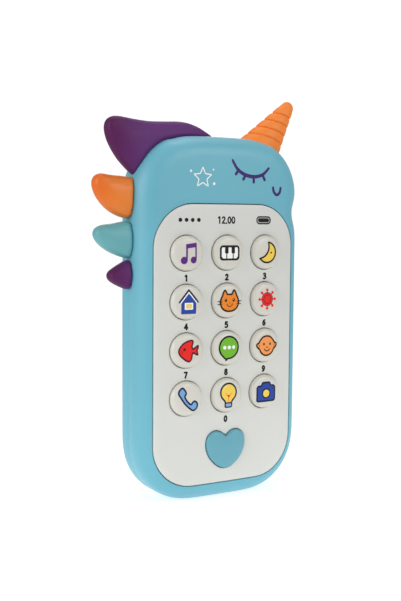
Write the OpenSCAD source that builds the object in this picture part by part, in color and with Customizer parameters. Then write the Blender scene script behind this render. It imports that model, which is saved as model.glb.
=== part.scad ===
// Toy cell phone for toddlers: a pocket-sized handset with a closed-eyed unicorn head, twelve picture
// keys, a heart button, a small speaker, a three-cell battery bay, and a mane and horn moulded in a
// softer plastic. All sizes are in millimetres.
//
// Each module is drawn face up: x to the phone's right, y up the phone, z towards the screen side,
// with z = 0 on the parting plane of the two shells. upright() then stands it on its foot, so that
// the screen faces -Y and the phone's height runs along +Z.

/* [Body] */
// Half the width of the handset
half_w = 40; // [36:0.5:44]
// Height of the top of the head above the foot
head_top = 154.8; // [140:0.1:165]
// Half the depth, from the parting plane to the front or back face
half_d = 12.5; // [11:0.5:14]
// Radius of the two corners at the foot
foot_r = 25; // [15:0.5:30]
// Radius of the two corners of the head
head_r = 24; // [15:0.5:28]
// Rounding between the side wall and the front and back faces
edge_r = 7; // [5:0.5:8]
// Wall thickness of the shells
wall = 2; // [1.5:0.1:2.5]
// Height of the waist under the head, on the right side
notch_y = 123; // [115:0.5:128]
// How far the waist cuts into the side
notch_depth = 2.1; // [0.5:0.1:3]

/* [Screen panel] */
// Half the width of the panel
panel_hw = 34.05; // [30:0.05:36]
// Lower edge of the panel
panel_y0 = 7.4; // [6:0.1:12]
// Upper edge of the panel
panel_y1 = 126.2; // [120:0.1:130]
// Corner radius of the panel
panel_r = 18; // [10:0.5:20]
// Thickness of the panel
panel_t = 2; // [1.5:0.1:2.5]

/* [Keys] */
// Distance between the columns of keys
col_pitch = 19.5; // [18:0.1:20]
// Distance between the rows of keys
row_pitch = 20.26; // [18:0.01:21]
// Height of the middle of the keypad above the foot
grid_y = 75.5; // [70:0.5:80]
// Radius of a key
key_r = 7.3; // [6:0.1:8]
// How far a key stands out of the panel
key_out = 2.4; // [1:0.1:3]
// How far a key can be pressed
key_travel = 1.2; // [0.8:0.1:1.5]
// Gap around a key
key_gap = 0.25; // [0.15:0.05:0.4]

/* [Heart button] */
// How far the heart stands out of the panel
heart_out = 1.6; // [1:0.1:2.5]
// Radius of the two lobes
lobe_r = 5.4; // [4:0.1:6]
// Distance of each lobe from the middle
lobe_x = 4.2; // [3:0.1:5]
// Height of the lobes above the foot
lobe_y = 24.5; // [22:0.1:27]
// Radius of the lower tip
tip_r = 2; // [1:0.1:3]
// Height of the tip's centre above the foot
tip_y = 15.3; // [13:0.1:17]

/* [Battery bay] */
// Radius of an AAA cell
cell_r = 5.2; // [5.1:0.05:5.25]
// Length of an AAA cell with its nub
cell_l = 44.5; // [44:0.1:44.5]
// Distance between the cells
cell_pitch = 11.25; // [11:0.05:12]

/* [Speaker] */
// Height of the speaker's middle above the foot
spk_y = 132; // [128:0.5:136]
// Outer radius of the speaker
spk_r = 16; // [14:0.5:18]

/* [Hidden] */
$fn = 64;
ball_fn = 32;
foot_c = [half_w - foot_r, foot_r];
head_c = [half_w - head_r, head_top - head_r];
face = half_d;
key_top = face + key_out;
heart_top = face + heart_out;
panel_back = face - panel_t;
ledge_t = 2;
flange_top = panel_back - 0.3;
flange_z = flange_top - 1.3;
plunger_z = 8.3;
board_top = 5.2;
board_t = 1.6;
sheet_t = 1;
key_names = ["music", "piano", "moon", "house", "cat", "sun", "fish", "chat", "smile", "handset",
             "bulb", "camera"];
key_xy = [for (row = [0:3], col = [0:2])
    [(col - 1) * col_pitch, grid_y + (1.5 - row) * row_pitch]];
heart_xy = [0, 22.5];
posts = [for (x = [-0.5, 0.5], y = [-1, 1]) [x * col_pitch, grid_y + y * row_pitch]];
case_xy = [[-34, 30], [34, 30], [-34, 78], [34, 78], [-30, 122], [30, 122]];
door_y = [25.5, 88.5];
bay_y = [31.5, 82.5];
cell_z = -4.7;
switch_y = 104;
horn_dir = 52.35;
horn_tip = [38.5, 169.3];
inset = 0.05;

body_blue = [0.42, 0.70, 0.78];
panel_white = [0.86, 0.86, 0.84];
key_white = [0.90, 0.89, 0.85];
heart_blue = [0.36, 0.62, 0.72];
mane_purple = [0.38, 0.20, 0.44];
horn_orange = [0.93, 0.50, 0.22];
fin_teal = [0.40, 0.68, 0.68];
steel = [0.72, 0.72, 0.74];
board_green = [0.16, 0.40, 0.24];
copper = [0.78, 0.50, 0.25];
black = [0.1, 0.1, 0.1];
grey = [0.5, 0.5, 0.5];

module upright() { rotate([90, 0, 0]) children(); }

// Half of a slab's section: r wide from its axis, h deep, with the outer edge rounded by e.
module edge_profile(r, h, e) {
    difference() {
        square([r, h]);
        translate([r - e, h - e]) difference() {
            square(e + 1);
            circle(e);
        }
    }
}

// The front half of the handset's outer form, or of the cavity at a depth below its skin.
module half_body(depth) {
    h = half_d - depth;
    e = edge_r - depth;
    translate([0, head_c[1], 0]) rotate([90, 0, 0]) linear_extrude(head_c[1] - foot_c[1]) {
        edge_profile(half_w - depth, h, e);
        mirror([1, 0]) edge_profile(half_w - depth, h, e);
    }
    translate([0, foot_c[1], 0]) rotate([90, 0, -90])
        linear_extrude(2 * foot_c[0], center = true) edge_profile(foot_r - depth, h, e);
    translate([0, head_c[1], 0]) rotate([90, 0, 90])
        linear_extrude(2 * head_c[0], center = true) edge_profile(head_r - depth, h, e);
    for (side = [0, 1]) mirror([side, 0, 0]) {
        translate([foot_c[0], foot_c[1], 0]) rotate([0, 0, -90])
            rotate_extrude(angle = 90) edge_profile(foot_r - depth, h, e);
        translate([head_c[0], head_c[1], 0])
            rotate_extrude(angle = 90) edge_profile(head_r - depth, h, e);
    }
}

// The waist on the right side: what is cut away, or what the cavity has to stay clear of.
module notch(depth) {
    r = 18;
    e = edge_r + 0.1 - depth;
    translate([half_w + r - notch_depth, notch_y, 0]) rotate_extrude() difference() {
        square([r + depth + e, half_d + 0.1]);
        translate([r + depth + e, half_d - edge_r]) circle(e);
        translate([r + depth, -0.1]) square([e + 1, half_d - edge_r + 0.1]);
    }
}

// The handset's outline as a plain prism, for trimming what sits on its side wall.
module body_prism(grow) {
    translate([0, 0, -half_d]) linear_extrude(2 * half_d) {
        translate([-half_w - grow, foot_c[1]]) square([2 * (half_w + grow), head_c[1] - foot_c[1]]);
        translate([-head_c[0], foot_c[1]]) square([2 * head_c[0], head_top + grow - foot_c[1]]);
        for (x = [-1, 1]) translate([x * head_c[0], head_c[1]]) circle(head_r + grow);
    }
}

module round_plate(hw, y0, y1, r) {
    translate([-hw, y0 + r]) square([2 * hw, y1 - y0 - 2 * r]);
    translate([r - hw, y0]) square([2 * (hw - r), y1 - y0]);
    for (x = [-1, 1], y = [y0 + r, y1 - r]) translate([x * (hw - r), y]) circle(r);
}

module heart(grow) {
    d = [lobe_x, lobe_y - tip_y];
    a = atan2(d[1], d[0]) - acos((tip_r - lobe_r) / norm(d));
    n = [cos(a), sin(a)];
    lobe = lobe_r + grow;
    tip = tip_r + grow;
    right = [lobe_x + lobe * n[0], lobe_y + lobe * n[1]];
    low = [tip * n[0], tip_y + tip * n[1]];
    polygon([[-low[0], low[1]], low, right, [lobe_x, lobe_y],
             [0, lobe_y + sqrt(max(0, lobe * lobe - lobe_x * lobe_x))],
             [-lobe_x, lobe_y], [-right[0], right[1]]]);
    for (x = [-1, 1]) translate([x * lobe_x, lobe_y]) circle(lobe);
    translate([0, tip_y]) circle(tip);
}

module tube(r0, r1, z0, z1) {
    translate([0, 0, z0]) difference() {
        cylinder(r = r1, h = z1 - z0);
        translate([0, 0, -1]) cylinder(r = r0, h = z1 - z0 + 2);
    }
}

module rod(r, z0, z1) { translate([0, 0, z0]) cylinder(r = r, h = z1 - z0); }

module block(x0, x1, y0, y1, z0, z1) { translate([x0, y0, z0]) cube([x1 - x0, y1 - y0, z1 - z0]); }

// A piece of a ring about one of the head's corners.
module arc_block(side, a0, a1, r0, r1, z0, z1) {
    translate([side * head_c[0], head_c[1], 0]) rotate([0, 0, a0])
        rotate_extrude(angle = a1 - a0) translate([r0, z0]) square([r1 - r0, z1 - z0]);
}

module ball(x, y, r) { translate([x, y, 0]) sphere(r, $fn = ball_fn); }

// A lead along a path: straight runs with a slightly thicker bend at each corner.
module wire(path, r) {
    for (i = [0:len(path) - 2]) {
        v = path[i + 1] - path[i];
        translate(path[i]) {
            rotate([0, acos(v[2] / norm(v)), atan2(v[1], v[0])])
                cylinder(r = r, h = norm(v), $fn = 24);
            if (i > 0) sphere(r * 1.1, $fn = 24);
        }
    }
}

// A cross-recess pan-head screw, driven from the back: bearing face at z, shank towards the front.
module screw(head_r, head_h, shank_r, shank_l) {
    difference() {
        union() {
            rod(head_r, -head_h, 0);
            rod(shank_r, -0.1, shank_l);
        }
        for (a = [0, 90]) rotate([0, 0, a])
            block(-head_r * 0.65, head_r * 0.65, -0.35, 0.35, -head_h - 0.1, -head_h * 0.35);
    }
}

// Slots in the side wall for the necks of the side fins, the mane and the horn.
fin_slots = [[121, 131], [106.5, 116.5], [93.5, 100.5]];
mane_arc = [112, 158];
horn_arc = [52, 84];
neck_z = 3;

module neck_slots() {
    for (s = fin_slots) block(-half_w - 1, wall - half_w + 1, s[0], s[1], -neck_z, neck_z);
    arc_block(-1, mane_arc[0], mane_arc[1], head_r - wall - 0.5, head_r + 1, -neck_z, neck_z);
    arc_block(1, horn_arc[0], horn_arc[1], head_r - wall - 0.5, head_r + 1, -neck_z, neck_z);
}

// The part of a side fin that passes through the wall and is held behind it.
module fin_root(slot) {
    block(-half_w - 1, wall - half_w + 0.5, slot[0] + inset, slot[1] - inset,
          inset - neck_z, neck_z - inset);
    block(wall - half_w + inset, wall - half_w + 1.5, slot[0] - 1.5, slot[1] + 1.5,
          -neck_z - 1.5, neck_z + 1.5);
}

module arc_root(side, a) {
    arc_block(side, a[0] + 0.2, a[1] - 0.2, head_r - wall - 0.5, head_r + 1,
              inset - neck_z, neck_z - inset);
    arc_block(side, a[0] - 4, a[1] + 4, head_r - wall - 1.5, head_r - wall - inset,
              -neck_z - 1.5, neck_z + 1.5);
}

module case_places() { for (p = case_xy) translate([p[0], p[1], 0]) children(); }

module front_shell() color(body_blue) upright() difference() {
    union() {
        difference() {
            half_body(0);
            difference() {
                half_body(wall);
                notch(wall);
            }
            notch(0);
        }
        intersection() {
            half_body(wall - 0.5);
            block(-half_w, half_w, 0, head_top, panel_back - ledge_t, panel_back + 0.3);
        }
        case_places() rod(3.8, inset, panel_back - ledge_t + 0.2);
    }
    notch(0);
    translate([0, 0, panel_back]) linear_extrude(panel_t + 1)
        round_plate(panel_hw + 0.15, panel_y0 - 0.15, panel_y1 + 0.15, panel_r + 0.15);
    translate([0, 0, -1]) linear_extrude(half_d + 2)
        round_plate(panel_hw - 2.9, panel_y0 + 2.9, panel_y1 - 2.9, panel_r - 2.9);
    for (p = peg_xy) translate([p[0], p[1], 0]) rod(0.85, 8, half_d);
    case_places() rod(1.25, -1, 7.5);
    neck_slots();
}

peg_xy = [for (x = [-32.6, 32.6], y = [35, 66.8, 98.6]) [x, y]];

module face_panel() color(panel_white) upright() {
    difference() {
        union() {
            translate([0, 0, panel_back]) linear_extrude(panel_t)
                round_plate(panel_hw, panel_y0, panel_y1, panel_r);
            for (p = posts) translate([p[0], p[1], 0]) rod(2.4, board_top, panel_back + 0.5);
            for (p = key_xy) translate([p[0], p[1], 0])
                block(-0.5, 0.5, key_r + 0.4, key_r + 1.9, flange_z - 0.9, panel_back + 0.5);
            for (p = peg_xy) translate([p[0], p[1], 0]) rod(0.8, panel_back - 2.4, panel_back + 0.5);
        }
        for (p = key_xy) translate([p[0], p[1], 0]) rod(key_r + key_gap, panel_back - 1, face + 1);
        translate([0, 0, panel_back - 1]) linear_extrude(panel_t + 2) heart(key_gap);
        for (p = posts) translate([p[0], p[1], 0]) rod(1.05, board_top - 1, 9.8);
    }
}

module key(i) color(key_white) upright() translate([key_xy[i][0], key_xy[i][1], 0]) {
    difference() {
        union() {
            translate([0, 0, flange_z]) rotate_extrude()
                edge_profile(key_r, key_top - flange_z, 1.2);
            rod(key_r + 1.1, flange_z, flange_top);
        }
        tube(2.5, key_r - 1.5, flange_z - 1, key_top - 1.5);
        block(-0.8, 0.8, key_r + 0.2, key_r + 2, flange_z - 1, flange_top + 1);
    }
    rod(2.5, plunger_z, flange_z + 1);
}

module key_music() key(0);
module key_piano() key(1);
module key_moon() key(2);
module key_house() key(3);
module key_cat() key(4);
module key_sun() key(5);
module key_fish() key(6);
module key_chat() key(7);
module key_smile() key(8);
module key_handset() key(9);
module key_bulb() key(10);
module key_camera() key(11);

module heart_button() color(heart_blue) upright() {
    difference() {
        union() {
            translate([0, 0, flange_z]) linear_extrude(heart_top - 0.6 - flange_z) heart(0);
            translate([0, 0, flange_z]) linear_extrude(heart_top - flange_z) heart(-0.7);
            translate([0, 0, flange_z]) linear_extrude(flange_top - flange_z) heart(1.1);
        }
        translate([0, 0, flange_z - 1]) linear_extrude(heart_top - 1.5 - flange_z + 1) heart(-1.5);
    }
    translate([heart_xy[0], heart_xy[1], 0]) rod(2.5, plunger_z, heart_top - 1);
}

module dome_places() { for (p = concat(key_xy, [heart_xy])) translate([p[0], p[1], 0]) children(); }

module keypad_membrane() color(grey) upright() difference() {
    union() {
        translate([0, 0, board_top]) linear_extrude(sheet_t) round_plate(29, 13, 117, 12);
        dome_places() translate([0, 0, board_top + sheet_t - 0.1])
            cylinder(r1 = 4.5, r2 = 2.9, h = plunger_z - 0.05 - board_top - sheet_t + 0.1);
    }
    dome_places() translate([0, 0, board_top - 0.1])
        cylinder(r1 = 3.9, r2 = 2.3, h = plunger_z - 0.75 - board_top + 0.1);
    for (p = posts) translate([p[0], p[1], 0]) rod(2.8, board_top - 1, board_top + 3);
}

module contact_pads() color(copper) upright() dome_places() {
    difference() {
        rod(2.2, board_top, board_top + 0.1);
        block(-3, 3, -0.15, 0.15, board_top - 1, board_top + 1);
    }
}

module circuit_board() color(board_green) upright() difference() {
    translate([0, 0, board_top - board_t]) linear_extrude(board_t) round_plate(29.5, 12, 118, 12);
    for (p = posts) translate([p[0], p[1], 0]) rod(1.2, 0, board_top + 1);
}

board_back = board_top - board_t;

module sound_chip() color(black) upright() translate([-14.5, 106, 0]) intersection() {
    translate([0, 0, board_back + 6.5]) sphere(8);
    rod(4.6, board_back - 1.6, board_back);
}

module board_parts() color(copper) upright() {
    for (p = [[10, 100], [14, 100], [18, 100], [14, 106], [18, 106], [-22, 104]])
        translate([p[0], p[1], board_back - 0.7]) cube([2, 1.2, 0.7]);
    block(20, 25, 110, 114, board_back - 1.4, board_back);
}

module capacitor() color(black) upright() translate([23, 92, 0]) {
    rod(2.5, board_back - 5.5, board_back);
}

module switch_body() color(steel) upright() difference() {
    block(-7, 7, switch_y - 3, switch_y + 3, -1.4, board_back);
    block(-5.4, 5.4, switch_y - 0.9, switch_y + 0.9, -2, 0.2);
}

module switch_knob() color(black) upright() {
    difference() {
        block(-6.5, 0.5, switch_y - 2, switch_y + 2, -12.1, -9.8);
        for (x = [-5:1:-1]) block(x - 0.2, x + 0.2, switch_y - 3, switch_y + 3, -12.6, -11.6);
    }
    block(-9.5, 3.5, switch_y - 3.5, switch_y + 3.5, 0.3 + wall - half_d, 1.2 + wall - half_d);
    block(-4.5, -1.5, switch_y - 1.5, switch_y + 1.5, 1.1 + wall - half_d, -1.7);
    block(-4.5, -1.5, switch_y - 0.6, switch_y + 0.6, -2, -0.2);
}

module back_shell() color(body_blue) upright() difference() {
    union() {
        mirror([0, 0, 1]) difference() {
            half_body(0);
            difference() {
                half_body(wall);
                notch(wall);
            }
        }
        case_places() rod(3.8, 0.1 - half_d + wall - 0.3, -inset);
        translate([0, spk_y, 0]) tube(spk_r + 0.2, spk_r + 1.4, wall - half_d - 0.3, -7.5);
    }
    mirror([0, 0, 1]) notch(0);
    translate([0, 0, -half_d - 1]) linear_extrude(wall + 1.2) round_plate(20.3, 19.7, 94.3, 4.3);
    block(-6.8, 6.8, switch_y - 2.3, switch_y + 2.3, -half_d - 1, wall - half_d + 1);
    translate([0, spk_y, 0]) {
        rod(1, -half_d - 1, wall - half_d + 0.1);
        for (ring = [1, 2, 3], i = [0:6 * ring - 1]) rotate([0, 0, i * 60 / ring])
            translate([3.6 * ring, 0, 0]) rod(1, -half_d - 1, wall - half_d + 0.1);
    }
    case_places() {
        rod(2.8, -half_d - 1, -7);
        rod(1.5, -half_d, 1);
    }
    neck_slots();
}

module case_screws() color(steel) upright() case_places()
    translate([0, 0, -7]) screw(2.5, 1.6, 1.2, 13);

module board_screws() color(steel) upright() for (p = posts)
    translate([p[0], p[1], board_back]) screw(2.1, 1.2, 1, 5.6);

module battery_tray() color(body_blue) upright() difference() {
    union() {
        block(-18.5, 18.5, bay_y[0] - 1.5, bay_y[1] + 1.5, wall - half_d, 2.1);
        translate([0, 0, wall - half_d]) linear_extrude(1.5) round_plate(23, 17, 97, 5);
        for (y = door_y) translate([0, y, 0]) rod(5.8, wall - half_d, -1);
    }
    block(-17, 17, bay_y[0], bay_y[1], -half_d, 0.9);
    for (y = door_y) translate([0, y, 0]) {
        rod(4.3, -half_d, -8.3);
        rod(1.25, -9, -2);
    }
}

module battery_door() color(body_blue) upright() difference() {
    union() {
        translate([0, 0, -half_d]) linear_extrude(wall - 0.05) round_plate(20, 20, 94, 4);
        for (y = door_y) translate([0, y, 0]) rod(4, -half_d, -8.5);
    }
    for (y = door_y) translate([0, y, 0]) {
        rod(2.9, -half_d - 1, -10.4);
        rod(1.5, -11, -8);
    }
}

module door_screw(y) color(steel) upright() translate([0, y, -10.4]) screw(2.6, 1.5, 1.2, 7.4);
module door_screw_bottom() door_screw(door_y[0]);
module door_screw_top() door_screw(door_y[1]);

// One cell; up: its nub points to the top of the phone.
module cell(x, up) {
    y = up ? bay_y[1] - 0.45 - cell_l : bay_y[0] + 0.45 + cell_l;
    translate([x, y, cell_z]) rotate([up ? -90 : 90, 0, 0]) {
        cylinder(r = cell_r, h = cell_l - 1);
        cylinder(r = 1.9, h = cell_l);
    }
}

module battery_1() color(copper) upright() cell(-cell_pitch, true);
module battery_2() color(copper) upright() cell(0, false);
module battery_3() color(copper) upright() cell(cell_pitch, true);

module coil() {
    linear_extrude(height = 5.4, twist = -1440, slices = 48, segments = 6, $fn = 6)
        translate([3.2, 0]) circle(0.45);
}

module battery_springs() color(steel) upright() {
    for (x = [-1, 1]) translate([x * cell_pitch, bay_y[0] + 0.45, cell_z]) rotate([-90, 0, 0]) coil();
    translate([0, bay_y[1] - 0.45, cell_z]) rotate([90, 0, 0]) coil();
}

module battery_plates() color(steel) upright() {
    for (end = [0, 1]) {
        y = end == 0 ? bay_y[0] : bay_y[1] - 0.4;
        for (x = [-1:1]) block(x * cell_pitch - 4, x * cell_pitch + 4, y, y + 0.4, -8.7, -0.7);
        x0 = end == 0 ? -cell_pitch : 0;
        block(x0, x0 + cell_pitch, y, y + 0.4, -6, -3);
    }
}

module battery_leads() color([0.75, 0.1, 0.1]) upright() {
    wire([[-14, 84.6, -3], [-14, 87, -2], [-19, 91, 1], [-22, 93, board_back - 0.6]], 0.6);
    wire([[14, 84.6, -3], [14, 87, -2], [15.5, 91, 1], [16, 95, board_back - 0.6]], 0.6);
}

module speaker_leads() color(black) upright() {
    for (x = [-1, 1])
        wire([[x * 11, spk_y - 10.5, -2], [x * 11, spk_y - 15, -1], [x * 9, spk_y - 20, 2],
              [x * 8, spk_y - 23, board_back - 0.6]], 0.5);
}

module speaker_basket() color(steel) upright() translate([0, spk_y, 0]) difference() {
    rotate_extrude() polygon([[14, -9.4], [spk_r, -9.4], [spk_r, -8.8], [14.7, -8.8], [9.4, -3.6],
                              [4.6, -3.6], [4.6, -4.2], [8.9, -4.2], [14, -9.2]]);
    for (a = [0, 90, 180, 270]) rotate([0, 0, a + 45]) block(9.6, 13, -3, 3, -8.4, -4.6);
}

module speaker_magnet() color(steel) upright() translate([0, spk_y, 0]) {
    rod(8.4, -3.6, 0.6);
    rod(3.2, -6, -3.5);
}

module speaker_cone() color(black) upright() translate([0, spk_y, 0]) rotate_extrude()
    polygon([[3.4, -4.4], [3.8, -4.4], [3.8, -6.2], [11.9, -8.8], [11.9, -9.1], [3.9, -6.6],
             [2.8, -7.3], [1.5, -7.7], [0, -7.8], [0, -7.5], [1.4, -7.4], [2.6, -7], [3.4, -6.4]]);

module speaker_surround() color(black) upright() translate([0, spk_y, 0]) rotate_extrude()
    polygon([[11.95, -9.1], [12.3, -9.1], [12.6, -9.75], [13.1, -9.75], [13.4, -9.5], [13.95, -9.5],
             [13.95, -9.22], [13.25, -9.22], [12.95, -9.45], [12.8, -9.45], [12.55, -8.8],
             [11.95, -8.8]]);

module speaker_gasket() color(black) upright() translate([0, spk_y, 0]) tube(14.1, 15.8, -10.2, -9.4);

module speaker_cloth() color(black) upright() translate([0, spk_y, 0])
    rod(15.8, wall - half_d, -10.2);

module mane_large() color(mane_purple) upright() {
    difference() {
        union() {
            hull() {
                ball(-45.9, 155.9, 5);
                ball(-41.2, 147.4, 5);
                ball(-36.8, 141, 3);
                ball(-30, 146, 5);
                ball(-18, 155.7, 5);
            }
            hull() {
                ball(-18, 155.7, 5);
                ball(-9.5, 154.2, 4.4);
                ball(-2, 152.6, 2.7);
            }
        }
        body_prism(inset);
    }
    arc_root(-1, mane_arc);
}

module fin_orange() color(horn_orange) upright() {
    difference() {
        hull() {
            ball(-51.3, 133.1, 5);
            ball(-38, 132.5, 5);
            ball(-46, 126, 5);
            ball(-38, 125, 5);
        }
        body_prism(inset);
    }
    fin_root(fin_slots[0]);
}

module fin_teal() color(fin_teal) upright() {
    difference() {
        hull() {
            ball(-51.3, 113.3, 4.6);
            ball(-38, 114.4, 4.6);
            ball(-46.5, 110, 4.6);
            ball(-38, 108.4, 4.6);
        }
        body_prism(inset);
    }
    fin_root(fin_slots[1]);
}

module fin_purple() color(mane_purple) upright() {
    difference() {
        hull() {
            ball(-47.1, 96.6, 2.7);
            ball(-39.5, 98.6, 4.4);
            ball(-39.5, 95.2, 4.4);
        }
        body_prism(inset);
    }
    fin_root(fin_slots[2]);
}

// The horn is a flattened cone of five bands; t runs back along it from the tip's centre.
function horn_w(t) = 3.1 + 0.272 * t;
module horn_disc(t, grow) {
    translate([horn_tip[0] - t * cos(horn_dir), horn_tip[1] - t * sin(horn_dir), 0])
        rotate([90, 0, horn_dir - 90]) scale([1, 0.68, 1])
            cylinder(r = horn_w(t) + grow, h = 0.05, center = true, $fn = 40);
}

module horn() color(horn_orange) upright() {
    cuts = [3.2, 7.6, 12, 16.4, 27];
    difference() {
        union() {
            hull() {
                translate([horn_tip[0], horn_tip[1], 0]) scale([1, 1, 0.8]) sphere(3.1, $fn = ball_fn);
                horn_disc(cuts[0], 0);
            }
            for (i = [0:3]) hull() {
                horn_disc(cuts[i] + 0.5, 0);
                horn_disc(cuts[i + 1], 0);
            }
            hull() {
                horn_disc(cuts[0] - 1, -0.5);
                horn_disc(cuts[4], -0.5);
            }
        }
        body_prism(inset);
    }
    arc_root(1, horn_arc);
}

front_shell();
back_shell();
face_panel();
key_music();
key_piano();
key_moon();
key_house();
key_cat();
key_sun();
key_fish();
key_chat();
key_smile();
key_handset();
key_bulb();
key_camera();
heart_button();
keypad_membrane();
contact_pads();
circuit_board();
sound_chip();
board_parts();
capacitor();
switch_body();
switch_knob();
speaker_basket();
speaker_magnet();
speaker_cone();
speaker_surround();
speaker_gasket();
speaker_cloth();
battery_tray();
battery_1();
battery_2();
battery_3();
battery_springs();
battery_plates();
battery_door();
door_screw_bottom();
door_screw_top();
case_screws();
board_screws();
battery_leads();
speaker_leads();
mane_large();
fin_orange();
fin_teal();
fin_purple();
horn();
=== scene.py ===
"""Looks of the toy cell phone: moulded shells, screen panel, picture keys, mane, fins and horn.

Shapes are worked out in millimetres in the row frame: x to the phone's right, z up, and the screen
side at negative y. Flat drawings are made in the (x, z) plane as the screen is seen.
"""

import math

import bmesh
import bpy
import numpy as np
from mathutils import Matrix, Vector
from mathutils.geometry import delaunay_2d_cdt


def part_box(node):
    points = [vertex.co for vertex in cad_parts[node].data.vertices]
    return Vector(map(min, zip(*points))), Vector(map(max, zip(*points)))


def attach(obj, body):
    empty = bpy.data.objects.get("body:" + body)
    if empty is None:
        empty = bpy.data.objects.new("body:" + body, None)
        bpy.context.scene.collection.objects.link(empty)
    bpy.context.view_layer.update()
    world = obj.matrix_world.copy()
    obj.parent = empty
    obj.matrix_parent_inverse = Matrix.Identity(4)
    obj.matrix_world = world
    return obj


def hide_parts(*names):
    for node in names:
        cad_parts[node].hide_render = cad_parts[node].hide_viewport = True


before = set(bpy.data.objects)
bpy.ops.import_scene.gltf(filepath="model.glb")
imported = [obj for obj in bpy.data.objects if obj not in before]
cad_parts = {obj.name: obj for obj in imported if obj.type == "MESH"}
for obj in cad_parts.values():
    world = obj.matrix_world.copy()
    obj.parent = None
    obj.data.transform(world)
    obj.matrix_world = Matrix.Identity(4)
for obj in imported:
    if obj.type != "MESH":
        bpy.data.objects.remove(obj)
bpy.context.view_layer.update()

MM = 0.001
ROOT = "case"


# ---- dimensions ----

def mm_box(node):
    """A CAD node's lowest and highest corners, in millimetres."""
    low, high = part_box(node)
    return np.array(low) * 1000, np.array(high) * 1000


FRONT_LOW, FRONT_HIGH = mm_box("front_shell")
BACK = mm_box("back_shell")[1][1]
PANEL_LOW, PANEL_HIGH = mm_box("face_panel")
DOOR_LOW, DOOR_HIGH = mm_box("battery_door")
KNOB_LOW, KNOB_HIGH = mm_box("switch_knob")
CONE_LOW, CONE_HIGH = mm_box("speaker_cone")

HALF_W = FRONT_HIGH[0]
TOP = FRONT_HIGH[2]
FACE = -FRONT_LOW[1]
FOOT_R = 25.0
HEAD_R = 24.0
EDGE_R = 8.3
FACE_ANGLE = 66.5
WALL = 2.0
CROWN = 1.5
HEAD_SLOPE = 0.7
SEAM_INSET = 0.1
SEAM_STEP = 0.12
HOLE_LIP = 0.35
CASE_STEP = 2.2
NOTCH_Z = 123.0
NOTCH_DEPTH = 2.1
NOTCH_WIDTH = 5.2
PANEL_HW = PANEL_HIGH[0]
PANEL_R = 18.0
PANEL_GAP = 0.34
KEY_FLANGE = 1.1
KEY_GAP = 0.25
KEY_RIM = 1.6
KEY_DOME = 0.45
KEY_POINTS = 72
KEY_BACK = 10.2
HEART_OUT = -mm_box("heart_button")[0][1] - FACE

KEYS = ["music", "piano", "moon", "house", "cat", "sun", "fish", "chat", "smile", "handset", "bulb",
        "camera"]
KEY_AT = {}
for key_name in KEYS:
    key_low, key_high = mm_box("key_" + key_name)
    KEY_AT[key_name] = np.array([(key_low[0] + key_high[0]) / 2, (key_low[2] + key_high[2]) / 2])
    KEY_R = (key_high[0] - key_low[0]) / 2 - KEY_FLANGE
    KEY_OUT = -key_low[1] - FACE


# ---- flat outlines ----

def arc(center, radius, start, end, count=24):
    """Points along an arc, angles in degrees, anticlockwise when end is larger."""
    a = np.radians(np.linspace(start, end, count))
    return np.stack([center[0] + radius * np.cos(a), center[1] + radius * np.sin(a)], axis=1)


def circle(center, radius, count=48):
    """Evenly spaced points round a circle."""
    return arc(center, radius, 0, 360, count + 1)[:-1]


def dense(loop, step):
    """The same loop with points added so that none are further than step apart."""
    out = []
    for a, b in zip(loop, np.roll(loop, -1, axis=0)):
        pieces = max(1, int(np.ceil(np.linalg.norm(b - a) / step)))
        out += [a + (b - a) * k / pieces for k in range(pieces)]
    return np.array(out)


def ellipse(center, rx, rz, count=36):
    """An upright ellipse with half axes rx and rz."""
    return np.array(center) + circle((0, 0), 1, count) * [rx, rz]


def round_box(x0, x1, z0, z1, r, count=16):
    """A rectangle with round corners, anticlockwise."""
    centers = ((x1 - r, z0 + r), (x1 - r, z1 - r), (x0 + r, z1 - r), (x0 + r, z0 + r))
    return np.vstack([arc(at, r, 90 * k - 90, 90 * k, count) for k, at in enumerate(centers)])


def resample(loop, count):
    """A closed loop as count points at equal steps along it."""
    loop = np.vstack([loop, loop[:1]])
    along = np.concatenate([[0], np.cumsum(np.linalg.norm(np.diff(loop, axis=0), axis=1))])
    at = np.linspace(0, along[-1], count, endpoint=False)
    return np.stack([np.interp(at, along, loop[:, 0]), np.interp(at, along, loop[:, 1])], axis=1)


def relax(loop, times):
    """Softens the change of curvature where arcs meet straight runs."""
    for _ in range(times):
        loop = (np.roll(loop, 1, axis=0) + 2 * loop + np.roll(loop, -1, axis=0)) / 4
    return loop


def curve(points, steps=8, closed=True):
    """A smooth curve through the points (Catmull-Rom)."""
    p = np.array(points, float)
    p = np.vstack([p[-1:], p, p[:2]] if closed else [p[:1], p, p[-1:]])
    out = []
    for a, b, c, d in zip(p, p[1:], p[2:], p[3:]):
        for t in np.arange(steps) / steps:
            out.append(0.5 * (2 * b + (c - a) * t + (2 * a - 5 * b + 4 * c - d) * t * t
                              + (3 * b - a - 3 * c + d) * t ** 3))
    if not closed:
        out.append(p[-1])
    return np.array(out)


def turned(loop):
    """The loop, made anticlockwise."""
    x, z = loop[:, 0], loop[:, 1]
    area = np.sum(x * np.roll(z, -1) - np.roll(x, -1) * z)
    return loop if area > 0 else loop[::-1]


def outward(loop):
    """Unit normals that point out of an anticlockwise loop."""
    along = np.roll(loop, -1, axis=0) - np.roll(loop, 1, axis=0)
    n = np.stack([along[:, 1], -along[:, 0]], axis=1)
    return n / np.maximum(np.linalg.norm(n, axis=1, keepdims=True), 1e-9)


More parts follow.
